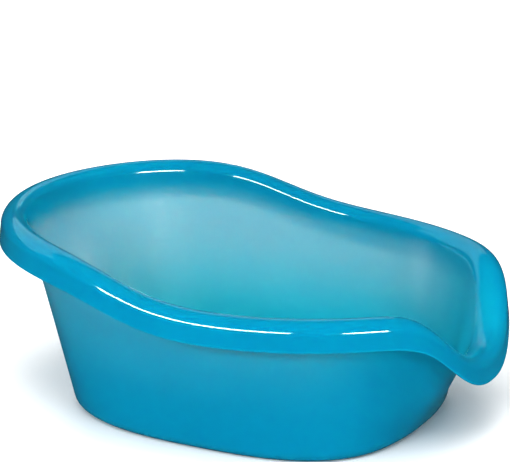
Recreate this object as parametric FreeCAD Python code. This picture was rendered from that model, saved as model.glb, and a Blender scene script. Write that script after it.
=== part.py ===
import FreeCAD, Part
import math
import os

# High-backed cat litter pan with a low entry, in millimetres.
#
# The real pan is one injection moulding: a flat floor, a wall that leans outwards from a
# rounded heel, and a rim that rolls over the top of the wall into a turned-down skirt.
# Here the moulding is divided where its shape changes, into a floor panel and four
# sectors (entry, left, right, back) of wall, flare, rim and skirt. The flare bends the
# wall outwards up to the crest, the rim rolls over from the crest, and the skirt hangs
# from the rim. Neighbours meet face to face.
#
# Frame: +Z up, the floor's underside on Z = 0, the entry faces -Y, left is -X,
# and the pan is symmetric about X = 0.

# --- driving dimensions -----------------------------------------------------------------
WALL = 2.5                 # moulded wall thickness

CREST_HALF_LENGTH = 262.0  # top of the rim, in plan
CREST_HALF_WIDTH = 206.0
CREST_EGG = 0.046          # how much wider the back is than the entry
CREST_BACK_POWER = 2.0     # superellipse power at the back: 2 is a plain ellipse
CREST_ENTRY_POWER = 2.33   # a little squarer at the entry

FOOT_HALF_LENGTH = 194.0   # sharp corner between the wall and the floor, in plan
FOOT_HALF_WIDTH = 163.5
FOOT_EGG = -0.1
FOOT_BACK_POWER = 2.6
FOOT_ENTRY_POWER = 3.0
FOOT_SHIFT = 6.3           # the foot's centre lies this far towards the entry

BACK_HEIGHT = 211.0        # rim height over the back plateau
SIDE_HEIGHT = 166.5        # rim height along the sides
BACK_SLOPE_AT = 61.0       # Y where the rim comes down from the back
BACK_SLOPE_LENGTH = 69.0
ENTRY_DROP = 118.5         # full depth of the dip that the entry cuts into
ENTRY_DIP_AT = -258.0      # Y where the dip is half way down
ENTRY_DIP_LENGTH = 20.7

HEEL_RADIUS = 14.5         # outside radius between floor and wall
INNER_ROUND = 13.0         # flare's radius from the wall up to the crest
ENTRY_INNER_ROUND = 21.0   # the same at the middle of the entry lip
OUTER_ROUND = 16.0         # rim's radius from the crest down to the skirt
SKIRT_DEPTH = 31.0         # crest down to the skirt's lower edge
BACK_SKIRT_DEPTH = 34.0    # the same at the middle of the back
SKIRT_FLARE = 1.7          # the lower edge stands this far outside the rounding

ENTRY_SECTOR = 40          # degrees each side of -Y
BACK_SECTOR = 55           # degrees each side of +Y
STATION_STEP = 5           # degrees between cross-sections

ARC_POINTS = 6             # points that carry each rounded strip of a cross-section


# --- plan outlines ----------------------------------------------------------------------
class Egg:
    """A superellipse in plan whose power and width change from the back to the entry."""

    def __init__(self, half_length, half_width, egg, back_power, entry_power, shift=0.0):
        self.half_length = half_length
        self.half_width = half_width
        self.egg = egg
        self.back_power = back_power
        self.entry_power = entry_power
        self.shift = shift

    def power(self, along):
        return self.back_power + (self.entry_power - self.back_power) * (1 + along) / 2

    def width(self, along):
        return self.half_width * (1 - self.egg * along)

    def point(self, degrees):
        """The outline's point at an angle from the entry, positive towards +X."""
        angle = math.radians(degrees)
        along = math.cos(angle)
        power = self.power(along)
        across = max(0.0, 1 - abs(along) ** power) ** (1 / power)
        side = math.copysign(1, math.sin(angle))
        return FreeCAD.Vector(side * self.width(along) * across,
                              -self.shift - self.half_length * along, 0)

    def level(self, point):
        """Negative inside the outline, zero on it, positive outside."""
        along = (-point.y - self.shift) / self.half_length
        if abs(along) > 1:
            return abs(along)
        power = self.power(along)
        across = abs(point.x) / self.width(along)
        return abs(along) ** power + across ** power - 1


CREST = Egg(CREST_HALF_LENGTH, CREST_HALF_WIDTH, CREST_EGG, CREST_BACK_POWER,
            CREST_ENTRY_POWER)
FOOT = Egg(FOOT_HALF_LENGTH, FOOT_HALF_WIDTH, FOOT_EGG, FOOT_BACK_POWER,
           FOOT_ENTRY_POWER, FOOT_SHIFT)


def outward(degrees):
    """Unit normal of the crest outline in plan."""
    step = 0.5
    tangent = CREST.point(degrees + step) - CREST.point(degrees - step)
    return FreeCAD.Vector(tangent.y, -tangent.x, 0).normalize()


def foot_reach(crest_point, normal):
    """Distance inwards along the normal from the crest to the foot outline."""
    near = 0.0
    far = CREST_HALF_WIDTH / 2
    while far - near > 1e-6:
        middle = (near + far) / 2
        if FOOT.level(crest_point - normal * middle) > 0:
            near = middle
        else:
            far = middle
    return near


# --- rim height ---------------------------------------------------------------------------
def logistic(value):
    return 1 / (1 + math.exp(-value))


def crest_height(y):
    """S-curve from the high back to the sides, then the dip at the entry."""
    rise = (BACK_HEIGHT - SIDE_HEIGHT) * logistic(2 * (y - BACK_SLOPE_AT) / BACK_SLOPE_LENGTH)
    dip = ENTRY_DROP * logistic(-2 * (y - ENTRY_DIP_AT) / ENTRY_DIP_LENGTH)
    return SIDE_HEIGHT + rise - dip


def inner_round(degrees):
    """The flare's radius grows towards the middle of the entry."""
    share = ((1 + math.cos(math.radians(degrees))) / 2) ** 6
    return INNER_ROUND + (ENTRY_INNER_ROUND - INNER_ROUND) * share


def skirt_depth(degrees):
    """The skirt hangs a little deeper towards the middle of the back."""
    share = ((1 - math.cos(math.radians(degrees))) / 2) ** 2
    return SKIRT_DEPTH + (BACK_SKIRT_DEPTH - SKIRT_DEPTH) * share


# --- cross-sections -----------------------------------------------------------------------
def arc(centre, radius, start, end):
    """Points of an arc in a section plane; angles in degrees from outwards, up positive."""
    points = []
    for index in range(ARC_POINTS):
        angle = math.radians(start + (end - start) * index / (ARC_POINTS - 1))
        points.append((centre[0] + radius * math.cos(angle),
                       centre[1] + radius * math.sin(angle)))
    return points


class Section:
    """The moulding cut by the vertical plane square to the rim at one angle.

    Points are (out, up): out is measured from the crest along the outward normal.
    """

    def __init__(self, degrees):
        self.crest = CREST.point(degrees)
        self.normal = outward(degrees)
        height = crest_height(self.crest.y)
        inner = inner_round(degrees)
        foot = -foot_reach(self.crest, self.normal)
        # The wall's outside runs from the foot and is tangent to the flare's underside.
        run = -foot
        rise = height - inner
        lean = math.acos((inner - WALL) / math.hypot(run, rise)) - math.atan2(rise, run)
        lean = math.degrees(lean)
        heel_tangent = HEEL_RADIUS / math.tan(math.radians(90 + lean) / 2)
        heel_centre = (foot - heel_tangent, HEEL_RADIUS)
        inner_centre = (0, height - inner)
        outer_centre = (0, height - OUTER_ROUND)
        self.heel_outside = arc(heel_centre, HEEL_RADIUS, -90, -lean)
        self.heel_inside = arc(heel_centre, HEEL_RADIUS - WALL, -lean, -90)
        self.round_under = arc(inner_centre, inner - WALL, 180 - lean, 90)
        self.round_top = arc(inner_centre, inner, 90, 180 - lean)
        self.outer_under = arc(outer_centre, OUTER_ROUND - WALL, 90, 0)
        self.outer_top = arc(outer_centre, OUTER_ROUND, 0, 90)
        edge = (OUTER_ROUND + SKIRT_FLARE, height - skirt_depth(degrees))
        self.skirt_outside = [self.outer_top[0], edge]
        self.skirt_inside = [(edge[0] - WALL, edge[1]), self.outer_under[-1]]

    def wall(self):
        """Closed loop of strips for the wall with its heel."""
        return [self.heel_outside,
                [self.heel_outside[-1], self.round_under[0]],
                [self.round_under[0], self.round_top[-1]],
                [self.round_top[-1], self.heel_inside[0]],
                self.heel_inside,
                [self.heel_inside[-1], self.heel_outside[0]]]

    def flare(self):
        """Closed loop of strips from the top of the wall up to the crest."""
        return [self.round_under,
                [self.round_under[-1], self.round_top[0]],
                self.round_top,
                [self.round_top[-1], self.round_under[0]]]

    def rim(self):
        """Closed loop of strips from the crest over to the skirt."""
        return [self.outer_under,
                [self.outer_under[-1], self.outer_top[0]],
                self.outer_top,
                [self.outer_top[-1], self.outer_under[0]]]

    def skirt(self):
        """Closed loop of strips for the turned-down skirt."""
        return [self.skirt_outside,
                [self.skirt_outside[-1], self.skirt_inside[0]],
                self.skirt_inside,
                [self.skirt_inside[-1], self.skirt_outside[0]]]

    def place(self, point):
        out, up = point
        return self.crest + self.normal * out + FreeCAD.Vector(0, 0, up)


# --- surfaces -------------------------------------------------------------------------------
def spline(points, parameters):
    curve = Part.BSplineCurve()
    curve.interpolate(Points=points, Parameters=parameters)
    return curve


def skin(rails, lengthwise, crosswise):
    """A smooth face through rails of points; neighbours with a common rail meet exactly."""
    curves = [spline(rail, lengthwise) for rail in rails]
    columns = zip(*[curve.getPoles() for curve in curves])
    ribs = [spline(list(column), crosswise) for column in columns]
    surface = Part.BSplineSurface()
    surface.buildFromPolesMultsKnots(
        [rib.getPoles() for rib in ribs],
        curves[0].getMultiplicities(), ribs[0].getMultiplicities(),
        curves[0].getKnots(), ribs[0].getKnots(),
        False, False, curves[0].Degree, ribs[0].Degree)
    return surface.toShape()


def cap(loop, section):
    """The flat end face of a sector."""
    edges = []
    for strip in loop:
        points = [section.place(point) for point in strip]
        edges.append(spline(points, steps(len(points))).toShape())
    return Part.Face(Part.Wire(edges))


def steps(count):
    return [float(index) for index in range(count)]


def sweep(angles, loop_of):
    """The solid that one loop of strips sweeps through the sections at these angles."""
    sections = [Section(degrees) for degrees in angles]
    loops = [loop_of(section) for section in sections]
    lengthwise = chord_lengths([section.crest for section in sections])
    faces = [cap(loops[0], sections[0]), cap(loops[-1], sections[-1])]
    for number, strip in enumerate(loops[0]):
        rails = []
        for index in range(len(strip)):
            rails.append([section.place(loop[number][index])
                          for section, loop in zip(sections, loops)])
        faces.append(skin(rails, lengthwise, steps(len(strip))))
    return solid_from(faces)


def chord_lengths(points):
    total = 0.0
    lengths = [total]
    for first, second in zip(points, points[1:]):
        total += first.distanceToPoint(second)
        lengths.append(total)
    return lengths


def solid_from(faces):
    shell = Part.Shell(faces)
    shell.sewShape()
    solid = Part.Solid(shell)
    if solid.Volume < 0:
        solid.reverse()
    return solid


def floor_panel(sectors):
    """The flat floor, inside the line where the heel begins."""
    edges = []
    for angles in sectors:
        sections = [Section(degrees) for degrees in angles]
        lengthwise = chord_lengths([section.crest for section in sections])
        rail = [section.place(section.heel_outside[0]) for section in sections]
        edges.append(spline(rail, lengthwise).toShape())
    outline = Part.Wire(Part.__sortEdges__(edges))
    return Part.Face(outline).extrude(FreeCAD.Vector(0, 0, WALL))


# --- parts ----------------------------------------------------------------------------------
def angle_range(start, end):
    return list(range(start, end + 1, STATION_STEP))


SECTORS = {
    "entry": angle_range(-ENTRY_SECTOR, ENTRY_SECTOR),
    "right": angle_range(ENTRY_SECTOR, 180 - BACK_SECTOR),
    "back": angle_range(180 - BACK_SECTOR, 180 + BACK_SECTOR),
    "left": angle_range(180 + BACK_SECTOR, 360 - ENTRY_SECTOR),
}


def build():
    parts = {"floor_panel": floor_panel(SECTORS.values())}
    for side, angles in SECTORS.items():
        parts[side + "_wall"] = sweep(angles, Section.wall)
        parts[side + "_flare"] = sweep(angles, Section.flare)
        parts[side + "_rim"] = sweep(angles, Section.rim)
        parts[side + "_skirt"] = sweep(angles, Section.skirt)
    return parts


os.makedirs("parts", exist_ok=True)
for name, shape in build().items():
    print(name, "valid", shape.isValid(), "volume", round(shape.Volume / 1000, 1), "cm3")
    shape.exportStep("parts/" + name + ".step")
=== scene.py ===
import math

import bpy
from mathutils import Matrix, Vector


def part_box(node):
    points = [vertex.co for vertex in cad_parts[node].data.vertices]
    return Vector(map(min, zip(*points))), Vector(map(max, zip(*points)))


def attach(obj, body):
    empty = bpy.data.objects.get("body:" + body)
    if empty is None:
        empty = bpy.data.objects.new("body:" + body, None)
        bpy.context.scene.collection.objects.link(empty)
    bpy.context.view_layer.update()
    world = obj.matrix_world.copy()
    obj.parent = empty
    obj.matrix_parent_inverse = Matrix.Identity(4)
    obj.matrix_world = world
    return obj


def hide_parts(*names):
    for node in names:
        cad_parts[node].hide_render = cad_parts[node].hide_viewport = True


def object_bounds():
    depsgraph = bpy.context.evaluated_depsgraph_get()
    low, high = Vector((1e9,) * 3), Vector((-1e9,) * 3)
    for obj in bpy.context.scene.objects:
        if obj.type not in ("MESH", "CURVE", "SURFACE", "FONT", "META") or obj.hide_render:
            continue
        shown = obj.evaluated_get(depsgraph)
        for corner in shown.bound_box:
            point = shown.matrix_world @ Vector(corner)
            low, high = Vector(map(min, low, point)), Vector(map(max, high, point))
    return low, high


# A high-backed litter pan moulded in translucent blue plastic, standing on a pale floor.
# The CAD model divides the one moulding into a floor, walls, flares, rims and skirts. The
# real pan has no joints in its plastic, so here it is one seamless shell of that shape.

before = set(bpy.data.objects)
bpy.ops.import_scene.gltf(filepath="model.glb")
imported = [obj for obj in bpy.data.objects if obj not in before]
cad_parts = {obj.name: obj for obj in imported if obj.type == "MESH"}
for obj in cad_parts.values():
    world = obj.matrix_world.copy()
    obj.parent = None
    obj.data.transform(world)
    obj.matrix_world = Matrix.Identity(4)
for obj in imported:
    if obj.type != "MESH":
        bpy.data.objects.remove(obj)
CAD_LOW, CAD_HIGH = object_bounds()
MM = 0.001

# --- the moulding, from the frame -------------------------------------------------------
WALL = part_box("floor_panel")[1].z          # thickness of the plastic
OUTER_ROUND = 16.0 * MM                    # crest of the rim down to the skirt
INNER_ROUND = 13.0 * MM                    # wall up to the crest of the rim
ENTRY_INNER_ROUND = 21.0 * MM              # the same at the middle of the entry lip
HEEL_RADIUS = 14.5 * MM                    # floor to wall, outside
SKIRT_DEPTH = 31.0 * MM                    # crest down to the skirt's lower edge
BACK_SKIRT_DEPTH = 34.0 * MM               # the same at the middle of the back
SKIRT_FLARE = 1.7 * MM

OVERHANG = OUTER_ROUND + SKIRT_FLARE       # crest out to the skirt's edge
CREST_HALF_LENGTH = CAD_HIGH.y - OVERHANG
CREST_EGG = 0.046
CREST_HALF_WIDTH = CAD_HIGH.x - OVERHANG
CREST_BACK_POWER = 2.0
CREST_ENTRY_POWER = 2.33

FOOT_HALF_LENGTH = 194.0 * MM
FOOT_HALF_WIDTH = 163.5 * MM
FOOT_EGG = -0.1
FOOT_BACK_POWER = 2.6
FOOT_ENTRY_POWER = 3.0
FOOT_SHIFT = 6.3 * MM

BACK_HEIGHT = 211.0 * MM
SIDE_HEIGHT = 166.5 * MM
BACK_SLOPE_AT = 61.0 * MM
BACK_SLOPE_LENGTH = 69.0 * MM
ENTRY_DROP = 118.5 * MM
ENTRY_DIP_AT = -258.0 * MM
ENTRY_DIP_LENGTH = 20.7 * MM

BACK_SHADE = 38.0 * MM                     # crest down to where the painted glow on the wall is full, below the rim's painted shade
SIDE_SHADE = 25.0 * MM
ENTRY_SHADE = 60.0 * MM
BACK_SHADE_FROM = 0.25                     # share of the half length towards the back
BACK_SHADE_RATE = 8
ENTRY_SHADE_FROM = 0.8                     # share of the half length towards the entry
ENTRY_SHADE_RATE = 12

STATIONS = 360                             # cross-sections round the pan
FLOOR_RINGS = 14
HEEL_STEPS = 8                             # edges along each stretch of a cross-section
WALL_STEPS = 24
FLARE_STEPS = 10
RIM_STEPS = 12
SKIRT_STEPS = 5
LIP_STEPS = 6
REACH_HALVINGS = 40                        # halvings of the search for the foot


class Egg:
    """A superellipse in plan whose power and width change from the back to the entry."""

    def __init__(self, half_length, half_width, egg, back_power, entry_power, shift=0.0):
        self.half_length = half_length
        self.half_width = half_width
        self.egg = egg
        self.back_power = back_power
        self.entry_power = entry_power
        self.shift = shift

    def power(self, along):
        return self.back_power + (self.entry_power - self.back_power) * (1 + along) / 2

    def width(self, along):
        return self.half_width * (1 - self.egg * along)

    def point(self, angle):
        along = math.cos(angle)
        power = self.power(along)
        across = max(0.0, 1 - abs(along) ** power) ** (1 / power)
        side = math.copysign(1, math.sin(angle))
        return Vector((side * self.width(along) * across,
                       -self.shift - self.half_length * along, 0))

    def level(self, point):
        along = (-point.y - self.shift) / self.half_length
        if abs(along) > 1:
            return abs(along)
        power = self.power(along)
        return abs(along) ** power + (abs(point.x) / self.width(along)) ** power - 1


CREST = Egg(CREST_HALF_LENGTH, CREST_HALF_WIDTH, CREST_EGG, CREST_BACK_POWER,
            CREST_ENTRY_POWER)
FOOT = Egg(FOOT_HALF_LENGTH, FOOT_HALF_WIDTH, FOOT_EGG, FOOT_BACK_POWER,
           FOOT_ENTRY_POWER, FOOT_SHIFT)


def logistic(value):
    return 1 / (1 + math.exp(-value))


def crest_height(y):
    rise = (BACK_HEIGHT - SIDE_HEIGHT) * logistic(2 * (y - BACK_SLOPE_AT) / BACK_SLOPE_LENGTH)
    dip = ENTRY_DROP * logistic(-2 * (y - ENTRY_DIP_AT) / ENTRY_DIP_LENGTH)
    return SIDE_HEIGHT + rise - dip


def outward(angle):
    step = math.radians(0.5)
    tangent = CREST.point(angle + step) - CREST.point(angle - step)
    return Vector((tangent.y, -tangent.x, 0)).normalized()


def skirt_depth(angle):
    """The skirt hangs a little deeper towards the middle of the back."""
    share = ((1 - math.cos(angle)) / 2) ** 2
    return SKIRT_DEPTH + (BACK_SKIRT_DEPTH - SKIRT_DEPTH) * share


def shade_depth(angle):
    """How far below the crest the rim's painted shade reaches down the wall."""
    along = math.cos(angle)
    back = logistic(-BACK_SHADE_RATE * (along + BACK_SHADE_FROM))
    entry = logistic(ENTRY_SHADE_RATE * (along - ENTRY_SHADE_FROM))
    return SIDE_SHADE + (BACK_SHADE - SIDE_SHADE) * back + (ENTRY_SHADE - SIDE_SHADE) * entry


def foot_reach(crest, normal):
    """Distance inwards from the crest to the foot outline."""
    near = 0.0
    far = CREST_HALF_WIDTH / 2
    for _ in range(REACH_HALVINGS):
        middle = (near + far) / 2
        if FOOT.level(crest - normal * middle) > 0:
            near = middle
        else:
            far = middle
    return near


def arc(centre, radius, start, end, count):
    points = []
    for index in range(count + 1):
        angle = start + (end - start) * index / count
        points.append((centre[0] + radius * math.cos(angle),
                       centre[1] + radius * math.sin(angle)))
    return points


def line(start, end, count):
    """Points strictly between two others."""
    points = []
    for index in range(1, count):
        share = index / count
        points.append((start[0] + (end[0] - start[0]) * share,
                       start[1] + (end[1] - start[1]) * share))
    return points


def section(angle):
    """One cross-section as a loop of points, from the floor inside, over the rim and
    back to the floor outside, and how far down the wall each lies, in depths of the rim's
    painted shade."""
    crest = CREST.point(angle)
    normal = outward(angle)
    height = crest_height(crest.y)
    share = ((1 + math.cos(angle)) / 2) ** 6
    inner = INNER_ROUND + (ENTRY_INNER_ROUND - INNER_ROUND) * share
    run = foot_reach(crest, normal)
    rise = height - inner
    lean = math.acos((inner - WALL) / math.hypot(run, rise)) - math.atan2(rise, run)
    quarter = math.pi / 2
    heel = (-run - HEEL_RADIUS / math.tan((quarter + lean) / 2), HEEL_RADIUS)
    inner_centre = (0, height - inner)
    outer_centre = (0, height - OUTER_ROUND)
    edge_round = WALL / 2
    edge = (OVERHANG - edge_round, height - skirt_depth(angle) + edge_round)

    heel_in = arc(heel, HEEL_RADIUS - WALL, -quarter, -lean, HEEL_STEPS)
    over_in = arc(inner_centre, inner, math.pi - lean, quarter, FLARE_STEPS)
    over_out = arc(outer_centre, OUTER_ROUND, quarter, 0, RIM_STEPS)
    lip = arc(edge, edge_round, 0, -math.pi, LIP_STEPS)
    under_out = arc(outer_centre, OUTER_ROUND - WALL, 0, quarter, RIM_STEPS)
    under_in = arc(inner_centre, inner - WALL, quarter, math.pi - lean, FLARE_STEPS)
    heel_out = arc(heel, HEEL_RADIUS, -lean, -quarter, HEEL_STEPS)

    loop = heel_in + line(heel_in[-1], over_in[0], WALL_STEPS) + over_in + over_out[1:]
    loop += line(over_out[-1], lip[0], SKIRT_STEPS) + lip
    loop += line(lip[-1], under_out[0], SKIRT_STEPS) + under_out + under_in[1:]
    loop += line(under_in[-1], heel_out[0], WALL_STEPS) + heel_out
    points = [crest + normal * out + Vector((0, 0, up)) for out, up in loop]
    shade = shade_depth(angle)
    return points, [(height - up) / shade if out < 0 else 0.0 for out, up in loop]


def make_shell():
    """The whole moulding as one closed mesh, with how far down the wall each point is."""
    loops = [section(2 * math.pi * (index + 0.5) / STATIONS) for index in range(STATIONS)]
    across = len(loops[0][0])
    points = [point for loop in loops for point in loop[0]]
    shares = [share for loop in loops for share in loop[1]]
    faces = []
    for index in range(STATIONS):
        here = index * across
        there = (index + 1) % STATIONS * across
        for step in range(across - 1):
            faces.append((here + step, here + step + 1, there + step + 1, there + step))
    add_floor(points, faces, [index * across for index in range(STATIONS)], False)
    add_floor(points, faces, [(index + 1) * across - 1 for index in range(STATIONS)], True)
    mesh = bpy.data.meshes.new("litter_pan_shell")
    mesh.from_pydata(points, [], faces)
    mesh.validate()
    mesh.update()
    mesh.shade_smooth()
    shares += [1.0] * (len(points) - len(shares))    # the floor
    mesh.attributes.new("down_wall", "FLOAT", "POINT").data.foreach_set("value", shares)
    shell = bpy.data.objects.new("litter_pan_shell", mesh)
    bpy.context.collection.objects.link(shell)
    return shell


def add_floor(points, faces, outline, underside):
    """Fills the inner edge of the heel with rings that shrink to the middle of the floor."""
    corners = [points[index] for index in outline]
    centre = sum(corners, Vector()) / len(corners)
    outer = outline
    for number in range(1, FLOOR_RINGS):
        scale = 1 - number / FLOOR_RINGS
        inner = range(len(points), len(points) + len(corners))
        points.extend(centre + (corner - centre) * scale for corner in corners)
        for index in range(len(corners)):
            after = (index + 1) % len(corners)
            quad = (outer[index], outer[after], inner[after], inner[index])
            faces.append(quad[::-1] if underside else quad)
        outer = inner
    middle = len(points)
    points.append(centre)
    for index in range(len(corners)):
        after = (index + 1) % len(corners)
        wedge = (outer[index], outer[after], middle)
        faces.append(wedge[::-1] if underside else wedge)


# --- material ---------------------------------------------------------------------------
def node(tree, kind, inputs=None, **settings):
    made = tree.nodes.new(kind)
    for name, value in settings.items():
        setattr(made, name, value)
    for name, value in (inputs or {}).items():
        made.inputs[name].default_value = value
    return made


def ramp(tree, source, low, high, low_at=0.3, high_at=0.7):
    """A colour that runs from low to high as a pattern's value rises."""
    made = node(tree, "ShaderNodeValToRGB")
    made.color_ramp.elements[0].position = low_at
    made.color_ramp.elements[0].color = low
    made.color_ramp.elements[1].position = high_at
    made.color_ramp.elements[1].color = high
    tree.links.new(source, made.inputs["Fac"])
    return made.outputs["Color"]


def fade(tree, source, low, high):
    """0 where a value is below low, rising smoothly to 1 where it passes high."""
    made = node(tree, "ShaderNodeMapRange", {"From Min": low, "From Max": high},
                interpolation_type="SMOOTHSTEP")
    tree.links.new(source, made.inputs["Value"])
    return made.outputs["Result"]


def product(tree, first, second):
    made = node(tree, "ShaderNodeMath", operation="MULTIPLY")
    tree.links.new(first, made.inputs[0])
    tree.links.new(second, made.inputs[1])
    return made.outputs["Value"]


def blend(tree, share, first, second):
    made = node(tree, "ShaderNodeMix", data_type="RGBA")
    tree.links.new(share, made.inputs["Factor"])
    tree.links.new(first, made.inputs["A"])
    tree.links.new(second, made.inputs["B"])
    return made.outputs["Result"]


def blue_plastic():
    """Milky translucent polypropylene. The wall's lighter, hazier base colour is a painted
    glow of light soaking through the single wall. The wall just under the rim, near the foot
    and at the entry keeps the rim's and skirt's deeper own colour as painted shade. The rim
    is glossier than the wall, and all of it has the orange peel and flow clouding of a large
    moulding."""
    material = bpy.data.materials.new("translucent_blue_plastic")
    material.use_nodes = True
    tree = material.node_tree
    link = tree.links.new
    place = node(tree, "ShaderNodeTexCoord").outputs["Object"]
    skin = tree.nodes["Principled BSDF"]
    skin.inputs["IOR"].default_value = 1.5
    skin.inputs["Specular IOR Level"].default_value = 0.8
    skin.inputs["Subsurface Weight"].default_value = 1.0
    skin.inputs["Subsurface Scale"].default_value = 0.03
    skin.inputs["Subsurface Radius"].default_value = (5.0, 0.48, 0.39)

    cloud = node(tree, "ShaderNodeTexNoise", {"Scale": 6.0, "Detail": 3.0})
    link(place, cloud.inputs["Vector"])
    # the plastic's own deeper blue, also used as painted shade on the wall under the rim,
    # near the foot and at the entry
    plastic_and_painted_shade = ramp(tree, cloud.outputs["Fac"], (0.0006, 0.186, 0.298, 1),
                (0.0006, 0.210, 0.328, 1))
    # a lighter, redder colour that paints the glow of light soaking through the single wall
    painted_glow_colour = ramp(tree, cloud.outputs["Fac"], (0.008, 0.215, 0.32, 1), (0.008, 0.24, 0.345, 1))
    gloss = ramp(tree, cloud.outputs["Fac"], (0.04, 0.04, 0.04, 1), (0.08, 0.08, 0.08, 1))
    satin = ramp(tree, cloud.outputs["Fac"], (0.14, 0.14, 0.14, 1), (0.20, 0.20, 0.20, 1))

    axes = node(tree, "ShaderNodeSeparateXYZ")
    link(place, axes.inputs["Vector"])
    down = node(tree, "ShaderNodeAttribute", attribute_name="down_wall")
    # painted glow share: full down the wall, painted shade just under the rim
    wall = fade(tree, down.outputs["Fac"], 0.45, 1.0)
    # painted shade near the foot, where less light comes through
    above_foot = fade(tree, axes.outputs["Z"], 0.03, 0.15)
    # painted shade at the entry, where the back light does not reach
    behind_entry = fade(tree, axes.outputs["Y"], -0.215, -0.13)
    painted_glow_share = product(tree, wall, product(tree, above_foot, behind_entry))
    link(blend(tree, painted_glow_share, plastic_and_painted_shade, painted_glow_colour), skin.inputs["Base Color"])
    link(blend(tree, wall, gloss, satin), skin.inputs["Roughness"])

    peel = node(tree, "ShaderNodeTexNoise", {"Scale": 240.0, "Detail": 2.0})
    link(place, peel.inputs["Vector"])
    bump = node(tree, "ShaderNodeBump", {"Strength": 0.012, "Distance": 0.0004})
    link(peel.outputs["Fac"], bump.inputs["Height"])
    link(bump.outputs["Normal"], skin.inputs["Normal"])
    return material


def pale_floor():
    material = bpy.data.materials.new("studio_floor")
    material.use_nodes = True
    tree = material.node_tree
    skin = tree.nodes["Principled BSDF"]
    skin.inputs["Base Color"].default_value = (0.86, 0.86, 0.86, 1)
    skin.inputs["Roughness"].default_value = 0.6
    return material


# --- studio -------------------------------------------------------------------------------
def make_floor():
    size = 3.0
    corners = [(-size, -size, 0), (size, -size, 0), (size, size, 0), (-size, size, 0)]
    mesh = bpy.data.meshes.new("studio_floor")
    mesh.from_pydata(corners, [], [(0, 1, 2, 3)])
    floor = bpy.data.objects.new("studio_floor", mesh)
    bpy.context.collection.objects.link(floor)
    mesh.materials.append(pale_floor())
    floor.visible_glossy = False           # keeps its white out of the gloss


def direction(azimuth, elevation):
    """Unit vector from the object towards a viewer; azimuth 0 is in front of the entry."""
    a = math.radians(azimuth)
    e = math.radians(elevation)
    return Vector((math.sin(a) * math.cos(e), -math.cos(a) * math.cos(e), math.sin(e)))


def aim_at(thing, target):
    thing.rotation_euler = (target - thing.location).to_track_quat("-Z", "Y").to_euler()


def make_camera():
    data = bpy.data.cameras.new("camera")
    data.sensor_width = 36.0
    data.lens = 262.2
    data.clip_end = 50.0
    camera = bpy.data.objects.new("camera", data)
    bpy.context.collection.objects.link(camera)
    target = Vector((0.0255, 0.0076, 0.185))
    camera.location = target + direction(-65.34, 17.15) * 4.011
    aim_at(camera, target)
    bpy.context.scene.camera = camera


def softbox(name, azimuth, elevation, distance, width, height, power, reflected=True):
    """A soft rectangular lamp, aimed at the pan; reflected says if the gloss shows it."""
    data = bpy.data.lights.new(name, "AREA")
    data.shape = "RECTANGLE"
    data.size = width
    data.size_y = height
    data.energy = power
    lamp = bpy.data.objects.new(name, data)
    bpy.context.collection.objects.link(lamp)
    target = Vector((0, 0, 0.12))
    lamp.location = target + direction(azimuth, elevation) * distance
    lamp.visible_camera = False
    lamp.visible_glossy = reflected
    aim_at(lamp, target)


def make_studio():
    world = bpy.data.worlds.new("studio")
    world.use_nodes = True
    tree = world.node_tree
    # The camera sees a pale backdrop; the light from it on the pan is much weaker.
    soft = tree.nodes["Background"]
    soft.inputs["Color"].default_value = (1, 1, 1, 1)
    soft.inputs["Strength"].default_value = 0.05
    backdrop = node(tree, "ShaderNodeBackground", {"Color": (1, 1, 1, 1), "Strength": 0.8})
    rays = node(tree, "ShaderNodeLightPath")
    seen = node(tree, "ShaderNodeMixShader")
    tree.links.new(rays.outputs["Is Camera Ray"], seen.inputs[0])
    tree.links.new(soft.outputs["Background"], seen.inputs[1])
    tree.links.new(backdrop.outputs["Background"], seen.inputs[2])
    tree.links.new(seen.outputs["Shader"], tree.nodes["World Output"].inputs["Surface"])
    bpy.context.scene.world = world
    bpy.context.scene.view_settings.view_transform = "Standard"
    bpy.context.scene.view_settings.look = "High Contrast"
    softbox("left_softbox", -97, 26, 5.0, 4.2, 0.7, 150)
    softbox("right_softbox", -36, 20, 5.0, 2.3, 0.7, 80)
    softbox("high_light", -65, 60, 4.5, 3.6, 2.4, 95, reflected=False)
    softbox("top_light", -65, 86, 3.5, 2.6, 2.6, 50, reflected=False)
    softbox("low_fill", -65, 4, 4.5, 6.0, 0.5, 38, reflected=False)
    softbox("left_fill", -155, 6, 4.5, 2.0, 0.5, 24, reflected=False)
    softbox("right_fill", 25, 6, 4.5, 2.0, 0.5, 36, reflected=False)
    softbox("back_light", 117, 8, 2.2, 1.7, 0.5, 28, reflected=False)
    softbox("backdrop_panel", 145, 36, 4.0, 6.4, 2.2, 19)
    make_floor()


# --- scene --------------------------------------------------------------------------------
make_studio()
make_camera()

shell = make_shell()
shell.data.materials.append(blue_plastic())
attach(shell, "root")
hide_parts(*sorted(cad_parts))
